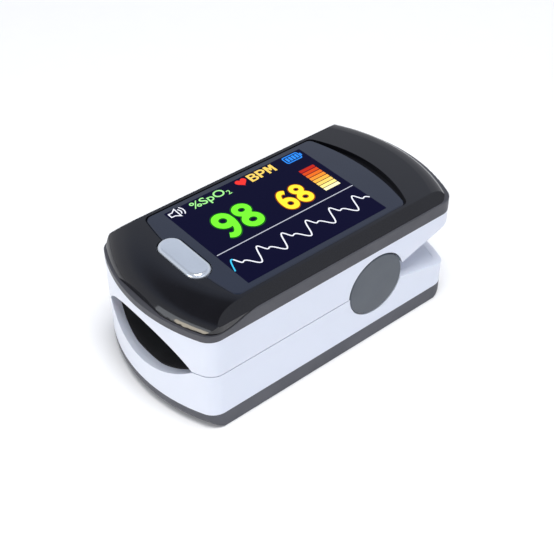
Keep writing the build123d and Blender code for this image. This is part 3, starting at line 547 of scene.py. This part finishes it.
def add_screen():
    """Screen face and everything lit on it."""
    x_range = (SCREEN_X[0] / MM, SCREEN_X[1] / MM)
    half = SCREEN_HALF / MM
    lit("screen_face", 1, "screen_navy", [rounded(x_range, (-half, half), 0.15)])
    add_status_icons()
    # readings
    oxygen = {"left": -11.9, "bottom": -1.25, "height": 7.0, "width": 8.3}
    rate = {"left": 0.75, "bottom": -1.75, "height": 5.6, "width": 6.3}
    glow = 0.06
    reading("reading_oxygen_glow", (digit_nine(glow), digit_eight(glow)), **oxygen, number=2,
            material="glow_green")
    reading("reading_oxygen", (digit_nine(0), digit_eight(0)), **oxygen, number=3, material="lit_green")
    reading("reading_rate_glow", (digit_six(glow), digit_eight(glow)), **rate, number=2,
            material="glow_orange")
    reading("reading_rate", (digit_six(0), digit_eight(0)), **rate, number=3, material="lit_yellow")
    add_gauge()
    # pulse wave under its rule
    lit("wave_rule", 2, "lit_line", strokes=[([(-16.3, RULE_Y), (WAVE_END, RULE_Y)], RULE_WIDTH, False)])
    points = wave_points(WAVE_START, WAVE_END, BEAT_ORIGIN, BEAT_LENGTH, WAVE_TROUGH, WAVE_CREST, WAVE_STEPS)
    lit("wave_start", 2, "lit_cyan", strokes=[(points[:CYAN_STEPS + 1], WAVE_WIDTH, False)])
    lit("pulse_wave", 2, "lit_white", strokes=[(points[CYAN_STEPS:], WAVE_WIDTH, False)])


# ---- ribbon cable --------------------------------------------------------------------------------
FLEX_STEPS = 48
FLEX_SLACK = 0.55 * MM         # how far the film sways either way
FLEX_FILM = 0.12 * MM
TRACK_COUNT = 7
TRACK_HALF = 0.22 * MM
TRACK_THICK = 0.05 * MM
TRACK_LIFT = 0.075 * MM        # from the film's middle to the tracks' middle


def add_flex():
    """Film with copper tracks from board to board, with some slack."""
    low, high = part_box("flex_cable")
    half = (high.y - low.y) / 2
    path = []
    for step in range(FLEX_STEPS + 1):
        t = step / FLEX_STEPS
        sway = FLEX_SLACK * math.sin(2 * math.pi * t) * math.sin(math.pi * t)
        path.append((low.x + 0.1 * MM + sway, low.z + (high.z - low.z) * t))
    shape = bmesh.new()
    add_stroke(shape, path, FLEX_FILM, -half, half)
    tracks = bmesh.new()
    along = [(x + TRACK_LIFT, z) for x, z in path[1:-1]]
    for track in range(TRACK_COUNT):
        middle = half * (track - TRACK_COUNT // 2) / 3.8
        add_stroke(tracks, along, TRACK_THICK, middle - TRACK_HALF, middle + TRACK_HALF)
    built_pieces = (("flex_ribbon", shape, "flex_film"), ("flex_tracks", tracks, "copper_pad"))
    for name, built, material in built_pieces:
        for vertex in built.verts:
            x, z, y = vertex.co
            vertex.co = (x, y, z)
        piece = bpy.data.objects.new(name, finished(built, name))
        bpy.context.scene.collection.objects.link(piece)
        piece.data.materials.append(materials[material])
        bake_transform(piece)
        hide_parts("flex_cable")


# ---- torsion springs -----------------------------------------------------------------------------
PIVOT = Vector((9.1, 0, 12.6)) * MM
SPRING_RADIUS = 1.65 * MM
SPRING_WIRE = 0.25 * MM
SPRING_TURNS = 5.5
SPRING_PITCH = 0.6 * MM
SPRING_LEG = 3.7 * MM
SPRING_START = 5.85 * MM       # distance of the coil's inner end from the middle
TURN_STEPS = 32
WIRE_SIDES = 12
LEG_PARTS = (0.05, 0.3, 0.6, 1.0)


def spring_path():
    """Middle of the right spring's wire: leg under the pin, coil outwards along it, leg over it."""
    coil = []
    for step in range(int(SPRING_TURNS * TURN_STEPS) + 1):
        turn = step / TURN_STEPS
        angle = 2 * math.pi * turn
        coil.append(PIVOT + Vector((-SPRING_RADIUS * math.sin(angle), SPRING_START + SPRING_PITCH * turn,
                                    -SPRING_RADIUS * math.cos(angle))))
    climb = SPRING_PITCH / (2 * math.pi * SPRING_RADIUS)
    first_leg = [coil[0] + Vector((1, -climb, 0)) * SPRING_LEG * part for part in reversed(LEG_PARTS)]
    last_leg = [coil[-1] + Vector((1, climb, 0)) * SPRING_LEG * part for part in LEG_PARTS]
    return first_leg + coil + last_leg


def add_tube(shape, path, radius, sides, side):
    """Round wire along a path, closed at both ends; side -1 mirrors it across the middle plane."""
    rings = []
    for index, here in enumerate(path):
        along = (path[min(index + 1, len(path) - 1)] - path[max(index - 1, 0)]).normalized()
        across = along.cross(Vector((0, 1, 0))).normalized()
        over = across.cross(along)
        ring = []
        for corner in range(sides):
            angle = 2 * math.pi * corner / sides
            x, y, z = here + (across * math.cos(angle) + over * math.sin(angle)) * radius
            ring.append(shape.verts.new((x, side * y, z)))
        rings.append(ring)
    for here, there in zip(rings, rings[1:]):
        for corner in range(sides):
            beside = (corner + 1) % sides
            shape.faces.new((here[corner], here[beside], there[beside], there[corner]))
    shape.faces.new(rings[0])
    shape.faces.new(list(reversed(rings[-1])))


def add_springs():
    """Both springs as wire between the halves: inner legs on the lower, outer on the upper."""
    for side, name in ((1, "right"), (-1, "left")):
        shape = bmesh.new()
        add_tube(shape, spring_path(), SPRING_WIRE, WIRE_SIDES, side)
        mesh = finished(shape, f"spring_{name}")
        for face in mesh.polygons:
            face.use_smooth = len(face.vertices) == 4
        spring = bpy.data.objects.new(f"spring_{name}", mesh)
        bpy.context.scene.collection.objects.link(spring)
        spring.data.materials.append(materials["steel_wire"])
        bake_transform(spring)
        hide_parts(f"torsion_spring_{name}")


# ---- charging socket -----------------------------------------------------------------------------
CONTACT_COUNT = 8
CONTACT_PITCH = 0.45 * MM
CONTACT_HALF = 0.12 * MM
CONTACT_THICK = 0.05 * MM
CONTACT_X = (27.2 * MM, 29.3 * MM)
CONTACT_Z = (4.73 * MM, 5.25 * MM)   # under and on the tongue


def add_contacts():
    """Gold contacts on both sides of the socket's tongue."""
    shape = bmesh.new()
    x0, x1 = CONTACT_X
    for index in range(CONTACT_COUNT):
        y = (index - (CONTACT_COUNT - 1) / 2) * CONTACT_PITCH
        y0, y1 = y - CONTACT_HALF, y + CONTACT_HALF
        for z in CONTACT_Z:
            add_outline(shape, [(x0, y0), (x1, y0), (x1, y1), (x0, y1)], z, z + CONTACT_THICK)
    mesh_piece("usb_contacts", finished(shape, "usb_contacts"), "copper_pad", "lower_half")


# ---- carried-over CAD nodes ----------------------------------------------------------------------
SOFT_EDGES = {"lower_shell": 0.12, "upper_shell": 0.12, "base_cover": 0.08, "bezel_ring": 0.06,
              "top_cover": 0.06, "lower_finger_pad": 0.15, "upper_finger_pad": 0.15, "lower_tray": 0.1,
              "upper_tray": 0.1, "display_frame": 0.08, "board_chips": 0.06, "buzzer": 0.15}


def soften(node, width):
    """Small round on the sharp edges, so that they catch the light."""
    bevel = node.modifiers.new("soft_edges", "BEVEL")
    bevel.width = width
    bevel.segments = 2
    bevel.limit_method = "ANGLE"
    bevel.angle_limit = math.radians(40)
    bevel.use_clamp_overlap = True


def dress_nodes():
    """Every CAD node gets the material of its slot, and the moulded ones softened edges."""
    slots = {part["node"]: part["material_slot"] for part in frame["record"]["subparts"]}
    for name, node in frame["nodes"].items():
        node.data.materials.clear()
        node.data.materials.append(materials[slots[name]])
        if name in SOFT_EDGES:
            soften(node, SOFT_EDGES[name] * MM)


# ---- scene ---------------------------------------------------------------------------------------
def add_stage():
    """Plain pale floor."""
    shape = bmesh.new()
    add_outline(shape, [(-FLOOR_HALF, -FLOOR_HALF), (FLOOR_HALF, -FLOOR_HALF), (FLOOR_HALF, FLOOR_HALF),
                        (-FLOOR_HALF, FLOOR_HALF)], -0.01, 0.0)
    floor = bpy.data.objects.new("floor", finished(shape, "floor"))
    bpy.context.scene.collection.objects.link(floor)
    material = plastic("floor_pale", (0.93, 0.93, 0.93), 0.7, 0.004, 300, 1e-5)
    floor.data.materials.append(material)


def add_lights():
    add_world()
    add_area("key", (-0.05, -0.60, 0.20), (0, 0, 0.01), (0.5, 0.3), 0.38, (0.97, 0.97, 1.0))
    add_area("front_fill", (-0.56, 0.08, 0.15), (0, 0, 0.01), (0.35, 0.2), 0.50, (0.88, 0.94, 1.0))
    add_area("glint", (-0.50, -0.01, 0.09), (-0.03, -0.01, 0.02), (0.22, 0.09), 0.42, (1.0, 0.86, 0.62))
    add_area("top", (-0.05, -0.15, 0.7), (0, 0, 0.02), (0.35, 0.35), 4.5)


add_camera()
add_lights()
add_stage()
dress_nodes()
add_screen()
add_flex()
add_springs()
add_contacts()
